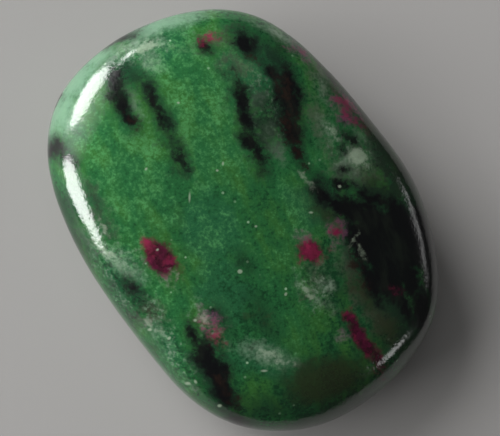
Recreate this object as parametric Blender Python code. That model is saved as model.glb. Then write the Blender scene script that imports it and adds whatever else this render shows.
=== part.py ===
"""Tumble-polished pebble of ruby in zoisite: one piece of stone.

Units are metres and +Z is up. The stone lies on its underside with its length along X and its
breadth along Y, and the origin is on the surface that it lies on, under the middle of the stone.
"""

import math

import bmesh
import bpy
from mathutils import Vector

# ---------------------------------------------------------------- driving dimensions
LENGTH = 0.0402
BREADTH = 0.0290
THICKNESS = 0.0120

# Worn sides of the outline seen from above: the way that each one faces, as degrees round from
# +X, and its distance from the middle of the stone.
SIDES = (
    (0.0, 0.0207),
    (30.0, 0.0202),
    (60.0, 0.0180),
    (95.0, 0.0149),
    (116.0, 0.0178),
    (145.0, 0.0189),
    (170.0, 0.0195),
    (197.0, 0.0206),
    (222.0, 0.0201),
    (248.0, 0.0176),
    (270.0, 0.0151),
    (303.0, 0.0188),
    (332.0, 0.0202),
)
SIDE_WEAR = 12.0  # how sharply two sides meet: a lower number gives a rounder outline
HALF_HEIGHT = 0.0062  # from the middle plane to the top of the plain worn body
EDGE_SQUARENESS = 2.9  # 2 gives the edge of an ellipse, 4 that of a rounded box
FLAT_WEAR = 16.0  # how sharply a flat meets its neighbours: a lower number is more worn

# The underside is worn off level where it rests, this high above the point that it would reach.
REST_DEPTH = 0.00022

# Flats left from the broken chunk: the direction that each one faces, as degrees round from +X
# and degrees above the middle plane, and its distance from the middle of the stone.
FLATS = {
    "long_side_shoulder": (68.0, 27.0, 0.0158),
    "end_bevel": (198.0, 42.0, 0.0162),
    "near_side_bevel": (258.0, 44.0, 0.0138),
    "blunt_end_bevel": (4.0, 40.0, 0.0166),
    "top_fall": (50.0, 80.0, 0.00655),
    "long_side_belly": (100.0, -35.0, 0.0124),
    "near_side_belly": (250.0, -32.0, 0.0144),
    "end_belly": (172.0, -30.0, 0.0174),
}

# Shallow hollows in the polished skin: where each one is, from the middle of the stone, its
# radius and its depth.
HOLLOWS = {
    "between_the_bevels": ((-0.0168, -0.0092, 0.0026), 0.0030, 0.00020),
    "by_the_blunt_end": ((0.0178, 0.0044, 0.0024), 0.0013, 0.00014),
    "on_the_long_side": ((0.0010, 0.0142, 0.0014), 0.0042, 0.00018),
    "on_the_near_side": ((0.0035, -0.0144, 0.0005), 0.0048, 0.00018),
    "under_the_end": ((-0.0110, 0.0070, -0.0054), 0.0045, 0.00022),
}

# ---------------------------------------------------------------- mesh fineness
GRID_CUTS = 27  # cuts along each edge of the cube that becomes the skin


def unit(azimuth, elevation):
    """The direction at these degrees round from +X and above the middle plane."""
    around, above = math.radians(azimuth), math.radians(elevation)
    level = math.cos(above)
    return Vector((math.cos(around) * level, math.sin(around) * level, math.sin(above)))


FLAT_PLANES = [(unit(around, above), distance) for around, above, distance in FLATS.values()]


def plan_nearness(way):
    """How near the sides of the outline are along a direction: one over the distance to them."""
    azimuth = math.atan2(way.y, way.x)
    facing = [max(0.0, math.cos(azimuth - math.radians(side))) / far for side, far in SIDES]
    worn = sum(value**SIDE_WEAR for value in facing) ** (1 / SIDE_WEAR)
    return math.hypot(way.x, way.y) * worn


def skin_point(way):
    """The point where a ray from the middle of the stone along a unit direction leaves it."""
    across = plan_nearness(way)
    upward = abs(way.z) / HALF_HEIGHT
    nearness = [(across**EDGE_SQUARENESS + upward**EDGE_SQUARENESS) ** (1 / EDGE_SQUARENESS)]
    nearness += [max(0.0, facing.dot(way)) / distance for facing, distance in FLAT_PLANES]
    point = way * sum(value**FLAT_WEAR for value in nearness) ** (-1 / FLAT_WEAR)
    for centre, radius, depth in HOLLOWS.values():
        away = (point - Vector(centre)).length / radius
        point -= way * depth * math.exp(-away * away)
    return point


def build_stone():
    """The whole pebble: a gridded cube pushed out to the skin and cut level where it rests."""
    bm = bmesh.new()
    bmesh.ops.create_cube(bm, size=2.0)
    bmesh.ops.subdivide_edges(bm, edges=bm.edges, cuts=GRID_CUTS, use_grid_fill=True)
    for vert in bm.verts:
        # The tangent spreads the grid evenly over the ball that the cube is blown up to.
        ball = Vector([math.tan(side * math.pi / 4) for side in vert.co]).normalized()
        vert.co = skin_point(ball)
    rest_height = min(vert.co.z for vert in bm.verts) + REST_DEPTH
    bmesh.ops.bisect_plane(
        bm,
        geom=bm.verts[:] + bm.edges[:] + bm.faces[:],
        dist=1e-6,
        plane_co=(0, 0, rest_height),
        plane_no=(0, 0, 1),
        clear_inner=True,
    )
    rim = [edge for edge in bm.edges if edge.is_boundary]
    for vert in {vert for edge in rim for vert in edge.verts}:
        vert.co.z = rest_height
    bmesh.ops.contextual_create(bm, geom=rim)
    bmesh.ops.recalc_face_normals(bm, faces=bm.faces)
    fit_to_calliper_sizes(bm, rest_height)
    mesh = bpy.data.meshes.new("ruby_zoisite_stone")
    bm.to_mesh(mesh)
    bm.free()
    mesh.shade_smooth()
    return bpy.data.objects.new("ruby_zoisite_stone", mesh)


def fit_to_calliper_sizes(bm, rest_height):
    """Centre the stone over the origin and bring it to its length, breadth and thickness."""
    low = [min(vert.co[axis] for vert in bm.verts) for axis in range(3)]
    high = [max(vert.co[axis] for vert in bm.verts) for axis in range(3)]
    middle = Vector(((low[0] + high[0]) / 2, (low[1] + high[1]) / 2, rest_height))
    bmesh.ops.translate(bm, verts=bm.verts, vec=-middle)
    sizes = (LENGTH, BREADTH, THICKNESS)
    factors = [size / (b - a) for size, a, b in zip(sizes, low, high)]
    bmesh.ops.scale(bm, verts=bm.verts, vec=factors)


def polished_stone():
    material = bpy.data.materials.new("ruby_in_zoisite")
    material.use_nodes = True
    surface = material.node_tree.nodes["Principled BSDF"]
    surface.inputs["Base Color"].default_value = (0.045, 0.165, 0.060, 1.0)
    surface.inputs["Roughness"].default_value = 0.14
    surface.inputs["Metallic"].default_value = 0.0
    return material


def main():
    for old in list(bpy.data.objects):
        bpy.data.objects.remove(old)
    parts = bpy.data.collections.new("ruby_in_zoisite")
    bpy.context.scene.collection.children.link(parts)
    stone = build_stone()
    stone.data.materials.append(polished_stone())
    parts.objects.link(stone)


main()
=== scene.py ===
"""Finish of a polished ruby-in-zoisite pebble, laid out as an add-on and run as a script.

Sizes are in metres unless a name says millimetres, and the stone lies in the frame of its solid.
Marks are placed on the stone's broad face in millimetres to the right of its middle and up from
it, as seen by someone who looks down on the face with the blunt end at the lower right.
"""

import math

import bpy
from mathutils import Matrix, Vector


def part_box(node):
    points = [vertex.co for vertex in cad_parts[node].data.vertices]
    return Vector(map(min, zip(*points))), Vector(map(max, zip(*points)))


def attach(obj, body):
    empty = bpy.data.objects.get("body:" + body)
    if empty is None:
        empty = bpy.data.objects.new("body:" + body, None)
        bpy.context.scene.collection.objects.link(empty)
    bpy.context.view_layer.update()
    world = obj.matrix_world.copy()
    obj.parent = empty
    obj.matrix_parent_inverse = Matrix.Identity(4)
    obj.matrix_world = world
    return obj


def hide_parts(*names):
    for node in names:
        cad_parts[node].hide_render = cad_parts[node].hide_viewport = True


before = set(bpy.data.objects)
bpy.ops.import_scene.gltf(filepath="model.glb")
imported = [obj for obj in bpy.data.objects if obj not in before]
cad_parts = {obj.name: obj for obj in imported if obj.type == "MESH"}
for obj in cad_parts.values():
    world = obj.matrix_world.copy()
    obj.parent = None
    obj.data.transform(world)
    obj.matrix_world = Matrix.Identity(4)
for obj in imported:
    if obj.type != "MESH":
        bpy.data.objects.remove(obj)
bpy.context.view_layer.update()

bl_info = {
    "name": "Polished Ruby in Zoisite",
    "version": (1, 0, 0),
    "blender": (4, 5, 0),
    "location": "View3D > Sidebar > Zoisite",
    "description": "Finishes a tumble-polished pebble of ruby in zoisite and stages it",
    "category": "Object",
}

NODE = "ruby_zoisite_stone"
STONE_LOW, STONE_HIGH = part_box(NODE)
MM = 0.001
FACE_TURN = 53.0  # degrees round from the stone's length to the right of someone looking down
AIM = (-0.00012, 0.00015)  # where the camera looks, measured from the stone's middle
SENSOR = 36.0  # width of the camera's sensor, millimetres

# ------------------------------------------------------------------ the rock, in millimetres
GRAIN_TURN = -68.0  # degrees, the way the streaks run over the broad face
GRAIN_STRETCH = (2.4, 1.0, 1.6)  # how long the grain is along, across and into the face
STREAK_STRETCH = (3.0, 1.0, 1.8)  # the same for the streaks on the sides
GRAIN_CELL = 0.42  # size of the single grains of zoisite
FLECK_CELL = 1.1  # spacing of the bright flecks in the green
FACET_CELL = 0.5  # size of the facets in a ruby
CRYSTAL_CELL = 4.2  # spacing of the rubies on the sides
CRYSTAL_HALF = 0.9  # half their size
SIDE_TOP = (5.5, 8.5)  # heights between which the sides' own pattern fades out
POLISH_SIZE = 0.6  # width of the fine unevenness that the polish leaves
POLISH_DEPTH = 0.000014  # its depth, metres
REFRACTION = 1.69  # refractive index of zoisite

# ------------------------------------------------------------------ marks on the stone
# Each mark is: right, up, half its length, half its width (millimetres), turn (degrees).
# The next six lines say, in millimetres, how they all lie in the stone.
FACE_MIDDLE = (-0.13, 0.07)  # where the marks are measured from, to the right and up
FACE_HEIGHT = 11.0  # how high the middle of a mark on the broad face lies
FACE_DEPTH = 5.0  # how far down such a mark reaches
ZONE_DEPTH = 6.0  # how far down a lighter or darker zone of the green reaches
RIM_HEIGHT = 7.0  # how high the middle of a mark on the rim lies
RIM_DEPTH = 4.5  # how far up and down such a mark reaches

# Black amphibole, and the green and grey that it clouds; the dull stains on the right side also
# paint shade.
BLACK_STREAKS = {
    "first_streak_top": (-12.4, 11.7, 1.2, 0.45, -79),
    "first_streak_middle": (-12.0, 10.1, 1.3, 0.60, -70),
    "first_streak_foot": (-11.4, 8.6, 0.9, 0.45, -45),
    "second_streak_top": (-9.4, 10.2, 0.9, 0.30, -67),
    "second_streak_middle": (-8.7, 8.8, 1.1, 0.30, -63),
    "second_streak_foot": (-6.9, 5.0, 0.6, 0.26, -75),
    "third_streak_top": (-1.7, 10.6, 1.6, 0.50, -76),
    "third_streak_middle": (-1.3, 8.6, 1.2, 0.50, -72),
    "third_streak_foot": (-0.7, 6.3, 1.6, 0.62, -66),
    "wide_streak_hook": (1.2, 12.8, 0.9, 0.45, -50),
    "wide_streak_top": (2.4, 11.9, 1.5, 0.90, -83),
    "wide_streak_left": (1.8, 10.8, 1.6, 0.50, -88),
    "wide_streak_bulge": (3.3, 11.3, 0.8, 0.50, -60),
    "wide_streak_middle": (2.6, 9.9, 1.5, 0.92, -81),
    "wide_streak_lower": (2.9, 7.8, 1.6, 0.70, -80),
    "wide_streak_foot": (3.2, 5.9, 1.0, 0.42, -69),
    "near_streak_shoulder": (-5.9, -10.2, 0.9, 0.34, -72),
    "near_streak_top": (-4.6, -11.8, 1.4, 0.80, -70),
    "near_streak_middle": (-3.6, -13.4, 1.6, 0.95, -64),
    "near_streak_foot": (-3.0, -15.0, 1.4, 0.90, -56),
    "near_streak_tail": (-2.3, -16.2, 0.8, 0.40, -42),
    "far_blot": (-1.1, 15.4, 1.0, 0.75, -30),
    "by_far_ruby": (-4.6, 15.0, 0.55, 0.34, -48),
    "tongue_core": (5.7, 2.1, 1.2, 0.42, -33),
    "tongue_foot": (7.2, 1.2, 1.2, 0.60, -30),
    "over_patch": (10.7, 1.7, 1.7, 0.60, -20),
    "patch_upper": (8.6, 0.6, 2.0, 1.0, -33),
    "patch_join": (9.9, 0.9, 1.6, 0.50, -25),
    "patch_left": (9.0, -1.8, 2.0, 1.15, -60),
    "patch_main": (11.5, -2.3, 3.9, 2.3, -58),
    "patch_right": (13.8, -1.7, 3.9, 1.7, -60),
    "patch_lower": (11.9, -5.4, 2.4, 1.3, -50),
    "patch_low_left": (10.2, -5.3, 2.1, 0.75, -58),
    "patch_low": (12.0, -6.8, 1.2, 0.50, -47),
    "patch_foot": (14.2, -5.6, 1.8, 1.1, -70),
    "patch_tail": (13.6, -7.9, 1.7, 0.60, -58),
    "under_the_cloud": (7.3, 3.0, 0.9, 0.40, -10),
    "pinhole_in_cloud": (7.6, 4.4, 0.28, 0.24, 0),
    "pinhole_over_cloud": (7.4, 6.1, 0.24, 0.18, 0),
    "dark_by_edge_ruby": (7.9, 9.1, 0.45, 0.36, 0),
    "dark_by_lilac": (8.5, 7.1, 0.5, 0.3, -27),
    "left_corner": (-17.2, 6.3, 0.8, 0.50, -50),
    "left_corner_foot": (-16.9, 5.4, 0.8, 0.40, -40),
    "spot_near_left": (-10.7, -5.8, 0.5, 0.26, -60),
    "cluster_dark": (-4.1, -8.1, 0.35, 0.20, -69),
}
DARK_STAINS = {
    "second_streak_upper": (-11.0, 12.3, 1.5, 0.95, -44),
    "second_streak_shoulder": (-9.9, 11.2, 1.0, 0.80, -57),
    "second_streak_lower": (-7.7, 6.5, 0.9, 0.40, -62),
    "second_streak_tail": (-7.3, 5.9, 1.4, 0.40, -66),
    "second_streak_foot": (-7.0, 5.0, 0.9, 0.60, -70),
    "between_third_and_wide": (0.4, 7.8, 2.1, 1.1, -75),
    "between_them_higher": (0.1, 10.4, 1.2, 0.8, -76),
    "link_third_and_wide": (0.1, 9.4, 1.3, 0.40, -4),
    "left_of_wide_streak": (1.5, 8.9, 1.3, 0.6, -78),
    "beside_wide_streak": (1.2, 13.4, 1.0, 0.80, -61),
    "round_far_blot": (-1.0, 15.3, 1.9, 1.1, -24),
    "below_far_blot": (-0.8, 14.4, 0.8, 0.50, -19),
    "far_blot_link": (1.5, 14.3, 1.4, 0.9, -51),
    "top_spots": (-3.0, 12.8, 0.45, 0.40, 0),
    "over_the_tongue": (5.2, 3.5, 0.9, 0.50, -38),
    "tongue": (5.9, 2.2, 1.9, 0.90, -33),
    "over_tongue_foot": (9.4, 2.5, 1.3, 0.6, -25),
    "patch_top": (10.0, 1.0, 2.6, 1.0, -25),
    "above_patch": (11.6, 2.0, 2.2, 0.9, -18),
    "left_of_patch": (8.8, -1.8, 1.9, 1.0, -63),
    "patch_side": (15.2, -6.4, 2.0, 1.0, -75),
    "under_patch": (12.6, -7.8, 2.6, 1.2, -55),
    "right_of_cloud": (11.8, 5.3, 2.5, 1.1, -59),
    "by_cloud_top": (7.9, 7.6, 0.6, 0.40, 0),
    "over_right_rim": (13.0, 3.1, 1.8, 1.1, -58),
    "blunt_rim": (14.5, -9.6, 2.6, 1.3, -60),
    "vein_round": (9.0, -10.4, 1.6, 0.7, -50),
    "near_left": (-11.5, -5.8, 1.2, 0.55, -40),
    "near_left_lower": (-10.6, -6.8, 1.0, 0.45, -50),
    "near_left_edge": (-12.3, -5.8, 0.5, 0.40, 0),
    "near_left_rim": (-10.6, -8.4, 1.0, 0.4, -52),
    "by_left_window": (-14.0, 0.8, 1.5, 0.35, -65),
    "by_white_dot": (-1.4, -3.7, 0.8, 0.42, -49),
    "right_of_cluster": (-3.4, -8.6, 1.1, 0.40, -69),
    "round_near_streak": (-4.1, -13.5, 3.7, 1.35, -65),
}
FAINT_STAINS = {
    "round_first_streak": (-12.0, 10.1, 2.6, 0.90, -70),
    "round_second_streak": (-8.8, 9.3, 3.4, 0.85, -64),
    "below_second_streak": (-6.9, 4.0, 0.45, 0.35, 0),
    "round_third_streak": (-1.2, 8.6, 3.8, 1.0, -74),
    "round_wide_streak": (2.4, 9.4, 4.4, 1.5, -80),
    "far_right": (1.4, 16.2, 2.6, 0.9, -24),
    "right_rim_upper": (11.6, 6.8, 4.2, 1.2, -57),
    "round_tongue": (5.6, 1.6, 2.4, 1.6, -33),
    "between_patch_and_vein": (9.6, -6.2, 3.4, 1.7, -55),
    "left_of_vein": (6.9, -6.4, 1.3, 0.90, -69),
    "blunt_end": (12.3, -9.5, 3.6, 2.2, -62),
    "lower_middle": (0.2, -8.6, 2.0, 0.80, -59),
    "near_right": (6.0, -14.4, 4.4, 2.4, 9),
    "near_edge": (1.0, -16.6, 4.0, 1.2, 4),
}
GREY_HAZES = {
    "between_third_and_wide": (0.6, 8.2, 1.9, 0.9, -75),
    "right_column": (5.4, 8.4, 2.2, 0.9, -72),
    "far_edge": (-3.6, 15.6, 1.8, 0.8, 10),
    "far_middle": (-1.8, 13.4, 1.4, 0.8, -30),
    "upper_right_edge": (6.6, 12.4, 2.2, 1.3, -43),
    "right_of_edge_ruby": (10.6, 8.2, 1.8, 0.9, -52),
    "round_the_cloud": (8.6, 4.8, 2.6, 1.9, -10),
    "right_of_cloud": (11.2, 5.6, 2.0, 0.9, -60),
    "right_shoulder": (13.4, 3.4, 1.8, 0.8, -57),
    "under_bright_ruby": (4.9, -5.0, 1.1, 0.80, -69),
    "right_of_bright_ruby": (8.0, -4.0, 1.6, 0.8, -60),
    "right_of_blue_cloud": (9.3, -7.0, 1.0, 0.8, -60),
    "right_of_vein": (11.2, -9.0, 2.0, 1.0, -47),
    "near_left": (-9.3, -8.0, 1.2, 0.70, -50),
    "by_left_window": (-14.0, 0.6, 1.8, 0.6, -65),
}
# These dull stains lie on the right side, away from the light, and are partly painted shade.
OLIVE_STAINS_AND_SHADE = {
    "upper_right_edge": (9.2, 10.2, 5.6, 1.0, -51),
    "right_of_disc": (10.4, 3.2, 1.7, 0.8, -27),
    "right_shoulder": (13.2, 4.2, 2.2, 0.9, -57),
    "over_patch": (11.6, 2.4, 1.6, 0.9, -30),
    "beside_patch": (9.9, -6.6, 2.2, 1.1, -58),
    "below_patch": (13.1, -7.4, 2.4, 1.3, -57),
    "right_of_vein": (11.8, -9.6, 2.0, 1.2, -47),
    "round_the_tongue": (6.6, 0.4, 1.8, 0.9, -30),
    "near_right": (6.3, -14.2, 3.8, 2.0, 9),
}
BROWN_STAINS = {
    "first_streak_tail": (-10.6, 7.8, 0.5, 0.25, -41),
    "wide_streak_top": (2.2, 11.6, 0.9, 0.50, -76),
    "wide_streak_middle": (2.8, 8.4, 0.9, 0.40, -80),
    "wide_streak_foot": (3.1, 6.2, 1.0, 0.40, -71),
    "beside_patch": (9.0, -4.8, 1.3, 0.40, -70),
    "below_far_blot": (-1.1, 14.4, 0.5, 0.26, -19),
    "by_edge_ruby": (9.0, 9.6, 1.0, 0.45, -48),
    "vein_top": (8.1, -9.0, 0.6, 0.32, -73),
    "lower_middle": (-0.7, -8.4, 0.4, 0.22, 0),
    "near_left_rim": (-9.0, -11.5, 0.6, 0.40, -50),
    "left_rim": (-9.9, -8.2, 0.8, 0.45, -50),
    "near_streak_foot": (-2.6, -15.0, 0.8, 0.40, -50),
    "blue_cloud": (4.0, -6.9, 0.4, 0.3, 0),
}

# Pale zoisite and feldspar, with a few painted highlights among them.
PALE_CLOUDS = {
    "disc": (8.8, 5.35, 1.30, 1.00, 0),
    "disc_left": (7.7, 5.2, 0.85, 0.70, 0),
    "disc_foot": (8.6, 4.1, 1.0, 0.35, -13),
    "lilac": (9.1, 7.5, 0.6, 0.36, -37),
    "fleck_over_cloud": (6.3, 8.0, 0.6, 0.36, -59),
    "fleck_by_third": (-0.2, 10.6, 0.5, 0.36, 0),
    "fleck_by_wide": (1.2, 6.4, 0.8, 0.30, -75),
    "fleck_far_right": (5.8, 12.2, 0.5, 0.22, -86),
    "beside_first_streak": (-11.1, 10.2, 0.8, 0.22, -57),
    "top_edge": (2.4, 16.2, 1.6, 0.5, -28),
    # The next cloud is pale where a small glint falls on the upper-left shoulder, so it is partly a
    # painted highlight.
    "far_cloud": (-10.8, 15.0, 1.5, 0.50, 31),
    "far_cloud_foot": (-9.4, 14.0, 0.9, 0.50, -63),
    "far_patch": (-9.3, 15.3, 1.0, 0.6, 30),
    # The next three clouds are a painted faint highlight that carries on the glint down the lit
    # left shoulder.
    "left_shoulder": (-13.8, -2.5, 1.6, 0.50, -46),
    "left_shoulder_foot": (-12.3, -3.7, 1.1, 0.65, -31),
    "left_shoulder_low": (-10.9, -4.6, 0.9, 0.4, -40),
    "near_left_rim": (-9.0, -9.7, 0.9, 0.20, -50),
    "near_cloud": (0.3, -11.6, 1.6, 0.50, -16),
    "near_cloud_right": (1.8, -12.3, 1.0, 0.45, -11),
    "blue_cloud_left": (4.1, -6.2, 0.7, 0.25, -49),
    "blue_cloud_right": (5.2, -7.2, 0.7, 0.25, -20),
    "blue_cloud_top": (6.0, -5.8, 0.4, 0.30, 0),
}
PALE_FLECKS = {
    "over_cloud": (6.6, 7.7, 0.55, 0.22, -57),
    "by_tongue": (4.0, 3.5, 0.65, 0.20, -43),
    # The next two flecks are painted glints, small highlights at the edge of the black patch.
    "by_patch": (8.5, -1.8, 0.25, 0.08, 58),
    "by_patch_lower": (9.3, -3.0, 0.35, 0.08, -53),
    "near_cloud": (0.6, -11.7, 0.6, 0.14, -16),
    "near_cloud_right": (1.9, -12.4, 0.5, 0.16, -11),
    "blue_cloud": (4.4, -6.6, 0.5, 0.16, -49),
    "cluster": (-4.9, -8.6, 0.35, 0.18, -60),
    "near_left": (-9.4, -9.2, 0.5, 0.16, -50),
    # Part of the painted faint highlight on the lit left shoulder.
    "left_shoulder": (-13.4, -2.6, 0.7, 0.20, -46),
    "lozenge_foot": (-7.5, -4.6, 0.3, 0.16, -30),
    "disc": (9.0, 5.5, 0.9, 0.6, 0),
    "far_patch": (-9.6, 15.0, 0.8, 0.4, 30),
    "beside_window": (-13.6, -0.6, 0.5, 0.14, -60),
}
WHITE_DOTS = {
    "large": (-1.9, -4.5, 0.19, 0.16, 0),
    "middle": (-0.5, -0.6, 0.09, 0.07, 0),
    "in_lozenge": (-9.0, -2.6, 0.09, 0.07, 30),
    "by_pink_cloud": (2.2, -6.5, 0.13, 0.10, 60),
    "in_tongue": (7.2, 2.9, 0.13, 0.11, 0),
    "by_tongue": (4.5, 0.6, 0.14, 0.07, 0),
    "near_cloud_dash": (0.4, -13.2, 0.22, 0.08, 0),
    "near_edge": (-3.2, -16.4, 0.16, 0.14, 0),
    "by_cluster": (-5.7, -8.7, 0.11, 0.09, 0),
    "near_left_edge": (-9.4, -9.6, 0.14, 0.10, 0),
    "near_left": (-7.8, -10.3, 0.13, 0.10, 60),
    "near_band": (-6.0, -14.4, 0.20, 0.13, 0),
    "beside_near_band": (-5.4, -14.2, 0.16, 0.09, -60),
    "top_left": (-7.2, 10.0, 0.09, 0.07, 0),
    "left": (-10.0, 4.3, 0.10, 0.07, 50),
    "upright": (-6.3, 1.9, 0.28, 0.06, 88),
    "pair_left": (-3.9, 4.2, 0.09, 0.07, 0),
    "pair_right": (-3.4, 4.8, 0.12, 0.07, 80),
}

# Ruby, the pink round it, and where light passes through it.
RUBIES = {
    "lozenge": (-8.75, -3.2, 1.75, 1.05, -50),
    "lozenge_tip": (-9.8, -2.1, 0.55, 0.40, -60),
    "lozenge_shoulder": (-8.2, -2.8, 0.9, 0.45, -60),
    "lozenge_corner": (-8.9, -3.9, 1.05, 0.62, -38),
    "bright_ruby": (4.45, -2.8, 1.0, 0.86, 0),
    "pale_ruby_core": (6.95, -1.15, 0.35, 0.30, -60),
    "vein_top": (8.25, -8.8, 0.85, 0.48, -68),
    "vein_neck": (8.7, -9.5, 0.7, 0.54, -60),
    "vein_upper": (9.1, -10.2, 0.95, 0.64, -48),
    "vein_middle": (9.8, -11.3, 1.1, 0.66, -38),
    "vein_foot": (11.0, -12.4, 1.1, 0.52, -57),
}
FAINT_RUBIES = {
    "lozenge_right": (-7.5, -4.1, 0.9, 0.5, -55),
    "round_bright_ruby": (4.4, -2.7, 1.4, 1.05, 0),
    "pale_ruby": (6.9, -1.1, 0.75, 0.60, -79),
    "cluster_upper": (-4.9, -8.9, 0.65, 0.40, -30),
    "cluster_foot": (-3.9, -10.0, 0.95, 0.50, -69),
    "far_edge_ruby": (-4.5, 15.8, 0.8, 0.50, 21),
    "small_edge_ruby": (4.0, 15.0, 0.8, 0.45, -28),
    "edge_ruby": (8.0, 9.9, 1.3, 0.85, -54),
    "edge_ruby_tail": (8.9, 8.7, 0.9, 0.50, -48),
    "ruby_in_black": (12.9, -6.4, 0.5, 0.30, 0),
    "vein_end": (11.6, -13.7, 1.0, 0.50, -64),
}
PINK_HAZES = {
    "lozenge_rim": (-8.9, -4.3, 1.0, 0.25, -42),
    "over_bright_ruby": (4.2, -1.9, 0.8, 0.4, -25),
    "cluster": (-4.7, -8.8, 1.1, 0.65, -50),
    "round_edge_ruby": (8.0, 9.7, 1.7, 1.0, -54),
    "small_edge_ruby": (4.0, 14.8, 0.9, 0.6, -30),
    "beside_vein": (7.6, -10.3, 0.4, 0.35, 0),
    "round_pale_ruby": (6.9, -1.1, 0.9, 0.75, -79),
}
LIT_RUBIES = {
    "bright_ruby": (4.45, -2.8, 0.85, 0.7, 0),
    "pale_ruby": (6.8, -1.0, 0.5, 0.4, -79),
    "lozenge_tip": (-9.9, -2.2, 0.6, 0.4, -60),
    "cluster": (-4.3, -9.4, 1.2, 0.7, -60),
    "edge_ruby": (8.0, 9.9, 1.2, 0.8, -54),
    "far_edge_ruby": (-4.5, 15.9, 0.8, 0.5, 21),
}

# Areas of the green that are lighter, bluer, darker or speckled.
# The lighter and darker zones are partly the green's own zoning and partly painted light and shade:
# lighter towards the lit upper-left shoulder and darker towards the lower right.
LIGHTER_AND_LIT_ZONES = {
    "top_left": (-4.6, 9.0, 7.0, 4.0, -68),
    "left": (-11.4, 4.2, 5.0, 3.4, -60),
    "left_band": (-13.2, -1.2, 5.5, 1.5, -58),
    "far_edge": (-6.6, 13.8, 4.2, 2.4, 10),
    "upper_middle": (-1.0, 8.6, 4.6, 2.6, -70),
    "middle": (-4.0, 3.0, 6.0, 3.0, -60),
    "centre_right": (3.4, 0.4, 3.0, 2.0, -60),
    "right_column": (5.8, 7.8, 3.0, 1.2, -75),
    "right_of_wide_streak": (5.6, 8.4, 3.0, 1.1, -75),
    "beside_lozenge": (-10.6, -2.2, 1.8, 1.0, -50),
    "left_of_cluster": (-8.6, -7.0, 2.2, 1.0, -55),
    "near_corner": (-7.8, -11.6, 2.8, 1.0, -56),
    "near_band_upper": (-7.4, -11.4, 2.6, 0.8, -60),
    "near_band_lower": (-6.0, -14.6, 2.4, 1.0, -50),
    "low_middle": (1.5, -6.0, 4.0, 2.4, -50),
}
TEAL_ZONES = {
    "middle": (-4.4, -1.0, 3.6, 2.4, -50),
    "right_of_middle": (4.5, 1.2, 2.6, 1.6, -40),
    "below_middle": (-3.0, -6.5, 3.0, 2.0, -70),
    "far_edge": (-0.4, 13.0, 3.6, 2.4, 0),
    "near_left_edge": (-11.6, -5.0, 3.6, 1.6, -58),
    "near_left_corner": (-7.4, -11.4, 3.6, 1.4, -58),
    "near_cloud": (0.8, -12.2, 3.6, 1.6, -10),
    "by_left_window": (-14.1, 0.8, 2.4, 0.9, -65),
    "far_left": (-9.6, 14.6, 4.0, 2.0, 30),
}
DARKER_AND_SHADED_ZONES = {
    "lower_middle": (0.5, -7.0, 4.0, 3.0, -60),
    "right_middle": (6.4, -3.4, 3.4, 2.4, -60),
    "far_right": (3.4, 11.6, 4.6, 2.6, -65),
    "near_edge": (0.0, -16.0, 6.0, 2.5, 0),
    "blunt_end": (9.0, -11.0, 6.5, 4.0, -50),
    "centre": (-1.0, 1.0, 3.0, 2.0, -60),
}
SPECKLED_ZONES = {
    "left_shoulder": (-12.6, -4.0, 3.4, 1.6, -46),
    "near_left": (-10.4, -7.4, 3.0, 1.5, -50),
    "near_band": (-6.8, -12.4, 3.6, 1.1, -59),
    "near_cluster": (-4.6, -9.2, 1.8, 1.2, -60),
    "round_the_cloud": (8.8, 5.6, 2.6, 2.0, -40),
    "under_bright_ruby": (4.9, -6.2, 2.2, 1.4, -60),
    "far_left": (-10.4, 14.6, 2.0, 0.8, 25),
    "between_streaks": (0.4, 9.4, 3.0, 1.6, -75),
}

# Marks that stand on the rim, round the broad face, among them painted shade and painted sheen.
RIM_BLACKS = {
    "right": (15.6, -2.4, 4.6, 1.6, -68),
    "right_lower": (15.4, -8.0, 2.6, 1.1, -84),
    "near": (-1.2, -18.2, 1.6, 0.6, -40),
    "far_left": (-11.8, 15.9, 1.0, 0.35, 25),
    "left": (-17.6, 6.0, 0.9, 0.45, -55),
    "right_foot": (16.2, -5.6, 2.2, 0.9, -78),
}
# On the right rim, the blunt end and the near edge, the side away from the light, these stains are
# partly painted shade.
RIM_STAINS_AND_SHADE = {
    "right": (14.9, 0.4, 6.5, 2.2, -66),
    "blunt_end": (14.6, -10.6, 4.0, 2.0, -62),
    "near": (7.0, -17.6, 5.5, 1.6, 22),
    "left_lower": (-15.9, -1.6, 3.0, 0.9, -64),
    "far_right": (9.0, 12.0, 4.0, 1.2, -48),
    "left_by_window": (-16.4, 0.6, 2.2, 0.7, -61),
}
# Painted sheen and light on the upper-left rim and top edge, which face the lamps: a pale green
# laid into the colour where the stone shows a reflection and brighter light.
PAINTED_RIM_SHEENS = {
    "left": (-17.1, 9.3, 2.0, 0.9, 70),
    "far_left": (-15.6, 12.2, 2.0, 0.9, 51),
    "far": (-13.8, 14.4, 1.6, 0.8, 41),
    "top": (-8.0, 17.4, 3.4, 0.8, 20),
}


# ------------------------------------------------------------------ settings
def colour(name, description, default):
    return bpy.props.FloatVectorProperty(
        name=name, description=description, default=default, size=3, subtype="COLOR", min=0, max=1
    )


def length(name, description, default):
    return bpy.props.FloatProperty(
        name=name, description=description, default=default, unit="LENGTH", precision=5
    )


def angle(name, description, degrees):
    return bpy.props.FloatProperty(
        name=name, description=description, default=math.radians(degrees), subtype="ANGLE"
    )


def number(name, description, default):
    return bpy.props.FloatProperty(name=name, description=description, default=default)


class ZoisiteShape(bpy.types.PropertyGroup):
    """How the skin of the stone is made."""

    grid_cuts: bpy.props.IntProperty(
        name="Grid cuts", description="Cuts along each edge of the starting cube", default=31
    )
    smooth_levels: bpy.props.IntProperty(
        name="Smoothing", description="Subdivision levels of the polished skin", default=2
    )
    wave_size: length("Wave size", "Width of the slight waves left by tumbling", 0.0050)
    wave_depth: length("Wave depth", "Height of the slight waves left by tumbling", 0.00007)


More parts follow.
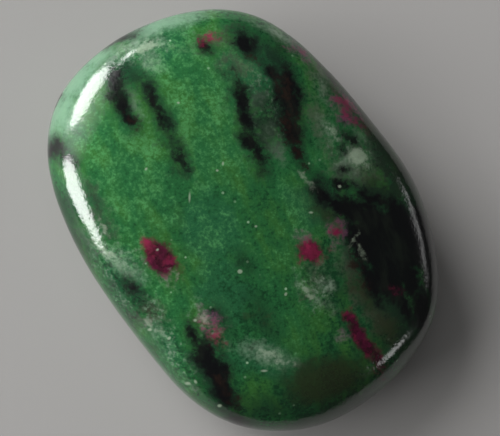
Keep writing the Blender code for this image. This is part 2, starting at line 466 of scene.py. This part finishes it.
class ZoisiteColours(bpy.types.PropertyGroup):
    """Colours of the minerals in the stone, and of the sheen painted on its rim."""

    green: colour("Green", "Zoisite over most of the stone", (0.022, 0.141, 0.035))
    green_light: colour("Light green", "Zoisite where it is clearest", (0.088, 0.33, 0.108))
    green_dark: colour("Dark green", "Zoisite in the shaded zones", (0.008, 0.050, 0.018))
    green_warm: colour("Warm green", "Yellower zones of the zoisite", (0.040, 0.140, 0.026))
    teal: colour("Blue green", "Bluer zones of the zoisite", (0.018, 0.110, 0.048))
    fleck: colour("Fleck", "Tiny bright grains in the green", (0.34, 0.55, 0.34))
    stain: colour("Stain", "Zoisite clouded by amphibole", (0.010, 0.026, 0.015))
    # Partly painted shade: it darkens the right side, which faces away from the light.
    olive_and_shade: colour("Olive", "Zoisite clouded by rusted amphibole", (0.024, 0.030, 0.012))
    soot: colour("Soot", "Amphibole with green in it", (0.0085, 0.011, 0.0085))
    black: colour("Black", "Amphibole streaks", (0.0035, 0.0035, 0.0045))
    brown: colour("Brown", "Amphibole where it has rusted", (0.028, 0.014, 0.009))
    ruby: colour("Ruby", "Ruby crystals", (0.085, 0.006, 0.030))
    ruby_dark: colour("Dark ruby", "Ruby in the thick of a crystal", (0.036, 0.003, 0.012))
    magenta: colour("Magenta", "Ruby where light passes through it", (0.30, 0.022, 0.072))
    ruby_rim: colour("Ruby rim", "Pink feldspar round the rubies", (0.28, 0.15, 0.23))
    pale: colour("Pale", "Clouds of pale zoisite and feldspar", (0.26, 0.36, 0.26))
    # Painted sheen for the lit upper-left rim, not a colour of the stone.
    painted_rim_sheen: colour("Pale green", "Thin clear zoisite on the rim", (0.20, 0.36, 0.24))
    grey: colour("Grey", "Zoisite clouded by feldspar", (0.080, 0.092, 0.066))
    white: colour("White", "Tiny bright grains", (0.42, 0.52, 0.38))


class ZoisiteStudio(bpy.types.PropertyGroup):
    """Floor, lights and camera."""

    floor_colour: colour("Floor", "Colour of the plain floor", (0.44, 0.43, 0.42))
    floor_size: length("Floor size", "Side of the floor", 3.0)
    lens: number("Lens", "Focal length, millimetres", 100.0)
    distance: length("Camera distance", "From the camera to the stone's middle", 0.126)
    tilt: angle("Camera tilt", "How far the camera leans from straight above", 11.4)
    lean: angle("Camera side", "Which side of the stone the camera leans over", 233.0)
    light_distance: length("Light distance", "From each light to the stone", 1.00)
    sky: number("Sky", "Strength of the even light from all round", 0.035)


# ------------------------------------------------------------------ shader maths
class Value:
    """One output of a shader node, so that maths on it reads as plain maths."""

    def __init__(self, look, socket):
        self.look = look
        self.socket = socket

    def __add__(self, other):
        return self.look.maths("ADD", self, other)

    def __radd__(self, other):
        return self.look.maths("ADD", other, self)

    def __sub__(self, other):
        return self.look.maths("SUBTRACT", self, other)

    def __rsub__(self, other):
        return self.look.maths("SUBTRACT", other, self)

    def __mul__(self, other):
        return self.look.maths("MULTIPLY", self, other)

    def __rmul__(self, other):
        return self.look.maths("MULTIPLY", other, self)


class Look:
    """A material and the few kinds of shader node that its patterns are made of."""

    def __init__(self, name):
        self.material = bpy.data.materials.new(name)
        self.material.use_nodes = True
        self.tree = self.material.node_tree
        self.surface = self.tree.nodes["Principled BSDF"]

    def node(self, kind, settings=None, output=0, **inputs):
        """Any shader node: its settings are set first, then the values or links of its sockets."""
        made = self.tree.nodes.new("ShaderNode" + kind)
        for name, setting in (settings or {}).items():
            setattr(made, name, setting)
        for name, given in inputs.items():
            key = int(name[1:]) if name[0] == "_" else name.replace("_", " ")
            self.feed(made.inputs[key], given)
        return Value(self, made.outputs[output])

    def feed(self, socket, given):
        if isinstance(given, Value):
            self.tree.links.new(given.socket, socket)
        else:
            socket.default_value = given

    def maths(self, operation, *given):
        numbered = {f"_{place}": value for place, value in enumerate(given)}
        return self.node("Math", {"operation": operation}, **numbered)

    def vector(self, operation, *given, output=0, **named):
        numbered = {f"_{place}": value for place, value in enumerate(given)}
        return self.node("VectorMath", {"operation": operation}, output, **numbered, **named)

    def mix(self, first, second, share):
        """The colour that goes from the first to the second as share goes from 0 to 1."""
        settings = {"data_type": "RGBA", "clamp_factor": True}
        colours = {"_6": self.rgba(first), "_7": self.rgba(second)}
        return self.node("Mix", settings, 2, _0=share, **colours)

    @staticmethod
    def rgba(given):
        return given if isinstance(given, Value) else (*given, 1.0)

    def step(self, value, low, high):
        """0 below low, 1 above high and a smooth step between them."""
        settings = {"interpolation_type": "SMOOTHSTEP", "clamp": False}
        return self.node(
            "MapRange", settings, Value=value, From_Min=low, From_Max=high, To_Min=0.0, To_Max=1.0
        )

    def noise(self, place, size, detail=2.0, output="Factor"):
        """Even noise whose lumps are about size across; detail adds finer lumps."""
        return self.node(
            "TexNoise",
            {"noise_dimensions": "3D"},
            0 if output == "Factor" else 1,
            Vector=place,
            Scale=1.0 / size,
            Detail=detail,
            Roughness=0.55,
        )

    def from_middle(self, place, size):
        """How far a place is from the middle of its cell, in cells that are about size across."""
        return self.node("TexVoronoi", {"feature": "F1"}, Vector=place, Scale=1 / size)

    def chance(self, place, size):
        """A chance number from 0 to 1 for each of the same cells."""
        cells = self.node("TexVoronoi", {"feature": "F1"}, 1, Vector=place, Scale=1 / size)
        return self.node("SeparateColor", Color=cells)

    def shaken(self, place, size, amount, detail=1.0):
        """A place moved about at random, by up to about a third of amount."""
        shake = self.noise(place, size, detail, "Color")
        centred = self.vector("SUBTRACT", shake, (0.5, 0.5, 0.5))
        return self.vector("MULTIPLY_ADD", centred, (amount, amount, amount), place)

    def stretched(self, place, stretch):
        """A place on which a pattern comes out longer along the grain, by these factors."""
        turn = (0.0, 0.0, math.radians(GRAIN_TURN))
        settings = {"vector_type": "TEXTURE"}
        return self.node("Mapping", settings, Vector=place, Rotation=turn, Scale=stretch)

    def inside(self, place, marks, height, deep):
        """How deep a place is in the nearest of some marks, in millimetres; below 0 it is outside.

        A mark is an ellipse as seen from above, and it reaches deep millimetres up and down.
        """
        upright = self.vector("DOT_PRODUCT", place, (0.0, 0.0, 1 / deep), output=1)
        nearest = None
        for right, up, long_half, wide_half, turn in marks.values():
            cosine, sine = math.cos(math.radians(turn)), math.sin(math.radians(turn))
            along = (cosine / long_half, sine / long_half, 0.0)
            across = (-sine / wide_half, cosine / wide_half, 0.0)
            centre = (
                along[0] * right + along[1] * up,
                across[0] * right + across[1] * up,
                height / deep,
            )
            unit = self.node(
                "CombineXYZ",
                X=self.vector("DOT_PRODUCT", place, along, output=1),
                Y=self.vector("DOT_PRODUCT", place, across, output=1),
                Z=upright,
            )
            reach = self.vector("DISTANCE", unit, centre, output=1)
            depth = self.maths("MULTIPLY_ADD", reach, -wide_half, wide_half)
            nearest = depth if nearest is None else self.maths("MAXIMUM", nearest, depth)
        return nearest


# ------------------------------------------------------------------ the stone's finish
def face_place(look):
    """Object coordinates in millimetres, turned to the right and up of the broad face."""
    here = look.node("TexCoord", output="Object")
    turned = look.node(
        "Mapping",
        {"vector_type": "POINT"},
        Vector=here,
        Location=(-FACE_MIDDLE[0] * MM, -FACE_MIDDLE[1] * MM, 0.0),
        Rotation=(0.0, 0.0, -math.radians(FACE_TURN)),
    )
    return look.vector("SCALE", turned, Scale=1 / MM)


class Texture:
    """The grain of the rock, which every mineral in it shares."""

    def __init__(self, look, place):
        self.place = place
        self.broad = look.noise(place, size=4.5, detail=2.0)
        self.streaky = look.noise(look.stretched(place, GRAIN_STRETCH), size=1.3, detail=3.0)
        self.mottle = look.noise(place, size=1.1, detail=4.0)
        self.grain = look.noise(place, size=0.33, detail=3.0)
        self.fine = look.noise(place, size=0.17, detail=1.0)
        self.cell = look.chance(look.shaken(place, size=0.4, amount=0.3), GRAIN_CELL)


def zoisite(look, colours, rock):
    """Granular green zoisite: bluer and yellower zones, light and dark grains, bright flecks."""
    drifting = look.shaken(rock.place, size=3.2, amount=3.2)
    swing = rock.mottle * 2.0 - 1.0

    def zone(marks, low, high):
        depth = look.inside(drifting, marks, FACE_HEIGHT, ZONE_DEPTH)
        return look.step(depth + swing, low, high)

    # These zones are partly painted light and shade: lighter towards the lit upper-left, darker
    # towards the lower right.
    bright = zone(LIGHTER_AND_LIT_ZONES, -2.0, 1.6)
    teal = zone(TEAL_ZONES, -1.2, 1.0)
    shade = zone(DARKER_AND_SHADED_ZONES, -1.6, 1.2)

    # The tone is a little under a half where every noise is at its middle.
    tone = rock.broad * 0.35 + rock.streaky * 0.45 + rock.mottle * 0.30 + rock.grain * 0.75
    tone = tone + rock.fine * 0.35 + rock.cell * 0.12 + bright * 0.13 - shade * 0.12 - 0.70
    yellow = look.step(rock.broad * 0.5 + rock.streaky * 0.5, 0.42, 0.62)
    middle = look.mix(colours.green, colours.green_warm, yellow * 0.7)
    blue = look.maths("MAXIMUM", teal * 0.75, (1.0 - yellow) * 0.35)
    middle = look.mix(middle, colours.teal, blue)
    green = look.mix(colours.green_dark, middle, look.step(tone, 0.14, 0.50))
    green = look.mix(green, colours.green_light, look.step(tone, 0.48, 0.88) * 0.8)

    chosen = look.step(look.chance(rock.place, FLECK_CELL), 0.78, 0.98)
    fleck = chosen * look.step(look.from_middle(rock.place, FLECK_CELL), 0.15, 0.06)
    return look.mix(green, colours.fleck, fleck * 0.8)


def side_pattern(look, rock):
    """Streaks, crystals and pale areas on the sides and underside, as depths in millimetres.

    They are depths like those of the marks, and stay well below 0 where the marks take over.
    """
    height = look.vector("DOT_PRODUCT", rock.place, (0.0, 0.0, 1.0), output=1)
    away = look.step(height, *SIDE_TOP) * 4.0
    wander = look.stretched(look.shaken(rock.place, size=3.0, amount=2.0), STREAK_STRETCH)
    black = (look.noise(wander, size=2.4, detail=2.0) - 0.60) * 9.0 - away
    crystals = look.shaken(rock.place, size=1.2, amount=1.0, detail=0.0)
    distance = look.from_middle(crystals, CRYSTAL_CELL) * CRYSTAL_CELL
    chosen = look.step(look.chance(crystals, CRYSTAL_CELL), 0.60, 0.62)
    ruby = CRYSTAL_HALF - distance - (1.0 - chosen) * 3.0 - away
    pale = (look.noise(rock.place, size=3.4, detail=3.0) - 0.62) * 8.0 - away
    return black, ruby, pale


def zoisite_material(colours):
    """The stone's finish, laid from the green up: hazes, stains, black, ruby and pale specks, with
    painted light, shade, sheen and highlights among them.
    """
    look = Look("ruby_in_zoisite")
    place = face_place(look)
    rock = Texture(look, place)
    green = zoisite(look, colours, rock)
    side_black, side_ruby, side_pale = side_pattern(look, rock)
    rough = (rock.grain - 0.5) * 0.9 + (rock.mottle - 0.5) * 1.2
    ragged = look.shaken(place, size=2.2, amount=1.1)
    ragged = look.shaken(ragged, size=0.5, amount=0.7, detail=2.0)

    def on_face(marks, where=ragged):
        return look.inside(where, marks, FACE_HEIGHT, FACE_DEPTH)

    def on_rim(marks):
        return look.inside(ragged, marks, RIM_HEIGHT, RIM_DEPTH)

    def either(first, second):
        return look.maths("MAXIMUM", first, second)

    def layer(below, colour, depth, gain, low, high, share):
        """Lays a colour over another, up to this share, where a roughened depth climbs past low."""
        return look.mix(below, colour, look.step(depth + rough * gain, low, high) * share)

    speckle = look.step(rock.grain + rock.mottle, 0.80, 1.20)
    skin = layer(green, colours.stain, on_face(FAINT_STAINS), 1.8, -0.9, 1.1, 0.55)
    skin = layer(skin, colours.grey, on_face(GREY_HAZES), 2.0, -0.8, 0.8, 0.30 + speckle * 0.35)
    # Painted sheen on the lit upper-left rim.
    skin = layer(skin, colours.painted_rim_sheen, on_rim(PAINTED_RIM_SHEENS), 1.0, -0.9, 0.6, 0.75)
    speckled = look.step(on_face(SPECKLED_ZONES) + rough * 1.5, -0.8, 0.8)
    salt = look.noise(place, size=0.38, detail=3.0) + (rock.mottle - 0.5) * 0.5
    skin = look.mix(skin, colours.pale, look.step(salt, 0.54, 0.68) * speckled * 0.45)
    skin = look.mix(skin, colours.stain, look.step(salt, 0.48, 0.36) * speckled * 0.70)
    # Some of these clouds are painted highlights on the lit left shoulder.
    clouds = either(on_face(PALE_CLOUDS), side_pale)
    skin = layer(skin, colours.pale, clouds, 1.0, -0.7, 0.8, 0.32 + speckle * 0.28)
    # Dull stains on the right side, partly painted shade.
    skin = layer(skin, colours.olive_and_shade, on_face(OLIVE_STAINS_AND_SHADE), 1.6, -0.9, 1.0, 0.75)
    # The rim stains are partly painted shade on the right rim and the blunt end.
    stains = either(on_face(DARK_STAINS), on_rim(RIM_STAINS_AND_SHADE))
    skin = layer(skin, colours.stain, stains, 1.6, -0.7, 0.7, 0.80)

    blacks = either(either(on_face(BLACK_STREAKS), on_rim(RIM_BLACKS)), side_black)
    skin = layer(skin, colours.stain, blacks, 1.2, -0.80, 0.15, 0.70)
    black = look.step(blacks + rough * 0.9, -0.30, 0.35)
    soot = look.mix(colours.black, colours.soot, look.step(rock.streaky, 0.45, 0.70))
    skin = look.mix(skin, soot, black * 0.97)
    skin = layer(skin, colours.brown, on_face(BROWN_STAINS), 2.6, -0.4, 0.9, 0.55)

    angular = look.shaken(place, size=1.0, amount=0.5, detail=0.0)
    angular = look.shaken(angular, size=0.3, amount=0.25)
    hazes = on_face(PINK_HAZES, angular)
    skin = layer(skin, colours.ruby_rim, hazes, 1.3, -0.5, 0.6, 0.20 + speckle * 0.35)
    facets = look.chance(look.shaken(place, size=0.4, amount=0.5), FACET_CELL)
    glow = facets * 0.7 + rock.grain * 1.3
    crystal = look.mix(colours.ruby_dark, colours.ruby, look.step(glow, 0.50, 1.50))
    lit = look.step(on_face(LIT_RUBIES, place) + rough, -0.6, 0.4)
    clear = look.step(rock.mottle, 0.52, 0.66) * 0.35 + lit * 0.5
    crystal = look.mix(crystal, colours.magenta, clear)
    faint = on_face(FAINT_RUBIES, angular)
    skin = layer(skin, crystal, faint, 1.3, -0.45, 0.55, 0.35 + speckle * 0.4)
    rubies = either(on_face(RUBIES, angular), side_ruby)
    skin = layer(skin, crystal, rubies, 0.6, -0.30, 0.25, 0.97)

    # Some of these flecks are painted glints.
    skin = layer(skin, colours.white, on_face(PALE_FLECKS, angular), 0.8, -0.22, 0.22, 0.42)
    dots = look.step(on_face(WHITE_DOTS, place), -0.08, 0.05)
    skin = look.mix(skin, colours.white, dots * 0.6)

    look.feed(look.surface.inputs["Base Color"], skin)
    roughness = 0.08 + rock.grain * 0.06 + black * 0.05
    look.feed(look.surface.inputs["Roughness"], roughness)
    look.surface.inputs["IOR"].default_value = REFRACTION
    ripple = look.noise(place, POLISH_SIZE, detail=2.0)
    bump = look.node("Bump", Height=rock.grain + ripple, Strength=1.0, Distance=POLISH_DEPTH)
    look.feed(look.surface.inputs["Normal"], bump)
    return look.material


# ------------------------------------------------------------------ the stone's skin
def apply_modifier(piece, kind, **settings):
    """Adds a modifier of this kind, sets it and applies it."""
    modifier = piece.modifiers.new(kind.lower(), kind)
    for name, setting in settings.items():
        setattr(modifier, name, setting)
    bpy.ops.object.modifier_apply(modifier=modifier.name)


def gridded_ball(name, cuts):
    """A ball of even quads with the breadth, length and thickness of the stone."""
    bpy.ops.object.select_all(action="DESELECT")
    bpy.ops.mesh.primitive_cube_add(size=2.0)
    ball = bpy.context.object
    ball.name = name
    bpy.ops.object.mode_set(mode="EDIT")
    bpy.ops.mesh.select_all(action="SELECT")
    bpy.ops.mesh.subdivide(number_cuts=cuts)
    bpy.ops.transform.tosphere(value=1.0)
    bpy.ops.object.mode_set(mode="OBJECT")
    middle = (STONE_LOW + STONE_HIGH) / 2
    radius = max(vertex.co.length for vertex in ball.data.vertices)
    ball.scale = (STONE_HIGH - STONE_LOW) / 2 / radius
    ball.location = middle
    bpy.ops.object.transform_apply(location=True, rotation=True, scale=True)
    return ball


def wave_texture(size):
    """The slight waves that tumbling leaves in the skin."""
    waves = bpy.data.textures.new("tumbling_waves", "CLOUDS")
    waves.noise_scale = size
    waves.noise_depth = 1
    return waves


def fit_to_box(piece):
    """Brings the finished mesh back to the length, breadth and thickness of its solid."""
    corners = [vertex.co for vertex in piece.data.vertices]
    low = Vector([min(corner[axis] for corner in corners) for axis in range(3)])
    high = Vector([max(corner[axis] for corner in corners) for axis in range(3)])
    factors = [
        (STONE_HIGH[axis] - STONE_LOW[axis]) / (high[axis] - low[axis]) for axis in range(3)
    ]
    move = Matrix.Translation(STONE_LOW) @ Matrix.Diagonal((*factors, 1.0))
    piece.matrix_world = move @ Matrix.Translation(-low)
    bpy.ops.object.transform_apply(location=True, rotation=True, scale=True)


class ZOISITE_OT_stone(bpy.types.Operator):
    """Make the polished stone over its solid, with its minerals and its sheen"""

    bl_idname = "zoisite.stone"
    bl_label = "Polished Stone"

    def execute(self, context):
        shape = context.scene.zoisite_shape
        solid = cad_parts[NODE]
        stone = gridded_ball("polished_stone", shape.grid_cuts)
        apply_modifier(
            stone,
            "SHRINKWRAP",
            target=solid,
            wrap_method="PROJECT",
            use_negative_direction=True,
            use_positive_direction=True,
        )
        bpy.ops.object.mode_set(mode="EDIT")
        bpy.ops.mesh.select_all(action="SELECT")
        bpy.ops.mesh.vertices_smooth(factor=0.5, repeat=2)
        bpy.ops.object.mode_set(mode="OBJECT")
        levels = shape.smooth_levels
        apply_modifier(stone, "SUBSURF", levels=levels, render_levels=levels)
        apply_modifier(
            stone,
            "DISPLACE",
            texture=wave_texture(shape.wave_size),
            texture_coords="LOCAL",
            strength=shape.wave_depth,
            mid_level=0.5,
        )
        fit_to_box(stone)
        bpy.ops.object.shade_smooth()
        stone.data.materials.append(zoisite_material(context.scene.zoisite_colours))
        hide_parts(NODE)
        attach(stone, "root")
        return {"FINISHED"}


# ------------------------------------------------------------------ the studio
# Each lamp is: degrees round from the stone's length, degrees up, degrees wide and tall as the
# stone sees it, degrees of spread, brightness, and whether it gives sheen, light or both.
LAMPS = {
    "window_left": (245.0, 19.0, 37.0, 28.0, 180, 12.0, "sheen"),
    "window_top": (194.5, 10.5, 27.0, 25.0, 180, 11.0, "both"),
    "window_gap": (173.0, 18.0, 7.0, 9.0, 180, 12.0, "sheen"),
    "veil": (206.0, 22.0, 48.0, 56.0, 56, 2.6, "sheen"),
    "low_veil": (190.0, -8.0, 70.0, 36.0, 70, 3.0, "sheen"),
    "window_right": (59.5, 23.5, 21.0, 7.0, 180, 1.7, "sheen"),
    "window_end": (22.0, 22.0, 8.0, 13.0, 180, 2.6, "sheen"),
    "front": (196.0, 31.0, 40.0, 34.0, 180, 7.0, "light"),
    "left": (238.0, 27.0, 36.0, 32.0, 180, 4.8, "light"),
    "overhead": (200.0, 65.0, 60.0, 60.0, 180, 0.5, "light"),
}


def direction(azimuth, elevation):
    """The direction at these degrees round from the stone's length and above the floor."""
    around, above = math.radians(azimuth), math.radians(elevation)
    level = math.cos(above)
    return Vector((math.cos(around) * level, math.sin(around) * level, math.sin(above)))


def plain_finish(name, base_colour, roughness):
    """One even colour with little shine, for the floor."""
    look = Look(name)
    look.surface.inputs["Base Color"].default_value = (*base_colour, 1.0)
    look.surface.inputs["Roughness"].default_value = roughness
    look.surface.inputs["Specular IOR Level"].default_value = 0.2
    return look.material


def radiant(size, brightness, spread):
    """The power of an oval softbox of this size and brightness that shines within this spread.

    For the same power, a narrower spread makes a lamp brighter, and the last factor undoes that.
    """
    half = spread / 2
    within = math.sin(half) ** 2 - (half - math.sin(half) * math.cos(half)) / math.tan(half)
    return brightness * math.pi * size[0] * size[1] * math.pi / 4 * within


def softbox(name, azimuth, elevation, distance, size, brightness, spread):
    """An oval light of this width and height that faces the stone's middle."""
    data = bpy.data.lights.new(name, "AREA")
    data.shape = "ELLIPSE"
    data.size, data.size_y = size
    data.spread = spread
    data.energy = radiant(size, brightness, spread)
    lamp = bpy.data.objects.new(name, data)
    bpy.context.scene.collection.objects.link(lamp)
    out = direction(azimuth, elevation)
    lamp.location = (STONE_LOW + STONE_HIGH) / 2 + out * distance
    lamp.rotation_mode = "QUATERNION"
    lamp.rotation_quaternion = out.to_track_quat("Z", "Y")
    return lamp


class ZOISITE_OT_studio(bpy.types.Operator):
    """Lay the plain floor and set up the lights and the camera"""

    bl_idname = "zoisite.studio"
    bl_label = "Studio"

    def execute(self, context):
        studio = context.scene.zoisite_studio
        bpy.ops.object.select_all(action="DESELECT")
        bpy.ops.mesh.primitive_plane_add(size=studio.floor_size, location=(0, 0, STONE_LOW.z))
        floor = context.object
        floor.name = "floor"
        floor.data.materials.append(plain_finish("plain_floor", studio.floor_colour, roughness=0.8))

        far = studio.light_distance
        for name, (azimuth, elevation, wide, tall, spread, brightness, use) in LAMPS.items():
            size = [2 * far * math.tan(math.radians(span) / 2) for span in (wide, tall)]
            open_to = math.radians(spread)
            lamp = softbox(name, azimuth, elevation, far, size, brightness, open_to)
            lamp.visible_glossy = use != "light"
            lamp.visible_diffuse = use != "sheen"

        world = bpy.data.worlds.new("even_light")
        world.use_nodes = True
        background = world.node_tree.nodes["Background"]
        background.inputs["Color"].default_value = (1, 1, 1, 1)
        background.inputs["Strength"].default_value = studio.sky
        context.scene.world = world
        context.scene.view_settings.view_transform = "Standard"

        self.add_camera(context, studio)
        return {"FINISHED"}

    def add_camera(self, context, studio):
        """A camera that leans over one side, with the blunt end of the stone at lower right."""
        data = bpy.data.cameras.new("camera")
        data.lens = studio.lens
        data.sensor_width = SENSOR
        data.clip_start = 0.01
        camera = bpy.data.objects.new("camera", data)
        context.scene.collection.objects.link(camera)
        back = direction(math.degrees(studio.lean), 90.0 - math.degrees(studio.tilt))
        level = direction(FACE_TURN, 0.0)
        right = (level - level.dot(back) * back).normalized()
        above = back.cross(right)
        aim = Vector((*AIM, (STONE_LOW.z + STONE_HIGH.z) / 2))
        turned = Matrix((right, above, back)).transposed()
        spot = Matrix.Translation(aim + back * studio.distance)
        camera.matrix_world = spot @ turned.to_4x4()
        context.scene.camera = camera


class ZOISITE_PT_panel(bpy.types.Panel):
    """Lists the stone, its colours and its studio in the sidebar."""

    bl_label = "Ruby in Zoisite"
    bl_idname = "ZOISITE_PT_panel"
    bl_space_type = "VIEW_3D"
    bl_region_type = "UI"
    bl_category = "Zoisite"

    def draw(self, context):
        layout = self.layout
        for name, operator in (
            ("zoisite_shape", "zoisite.stone"),
            ("zoisite_colours", None),
            ("zoisite_studio", "zoisite.studio"),
        ):
            settings = getattr(context.scene, name)
            box = layout.box()
            for field in settings.bl_rna.properties.keys():
                if field not in ("rna_type", "name"):
                    box.prop(settings, field)
            if operator:
                box.operator(operator)


GROUPS = {
    "zoisite_shape": ZoisiteShape,
    "zoisite_colours": ZoisiteColours,
    "zoisite_studio": ZoisiteStudio,
}
CLASSES = (*GROUPS.values(), ZOISITE_OT_stone, ZOISITE_OT_studio, ZOISITE_PT_panel)


def register():
    for each in CLASSES:
        bpy.utils.register_class(each)
    for name, group in GROUPS.items():
        setattr(bpy.types.Scene, name, bpy.props.PointerProperty(type=group))


def unregister():
    for name in GROUPS:
        delattr(bpy.types.Scene, name)
    for each in reversed(CLASSES):
        bpy.utils.unregister_class(each)


def main():
    register()
    bpy.ops.zoisite.stone()
    bpy.ops.zoisite.studio()


if __name__ == "__main__":
    main()
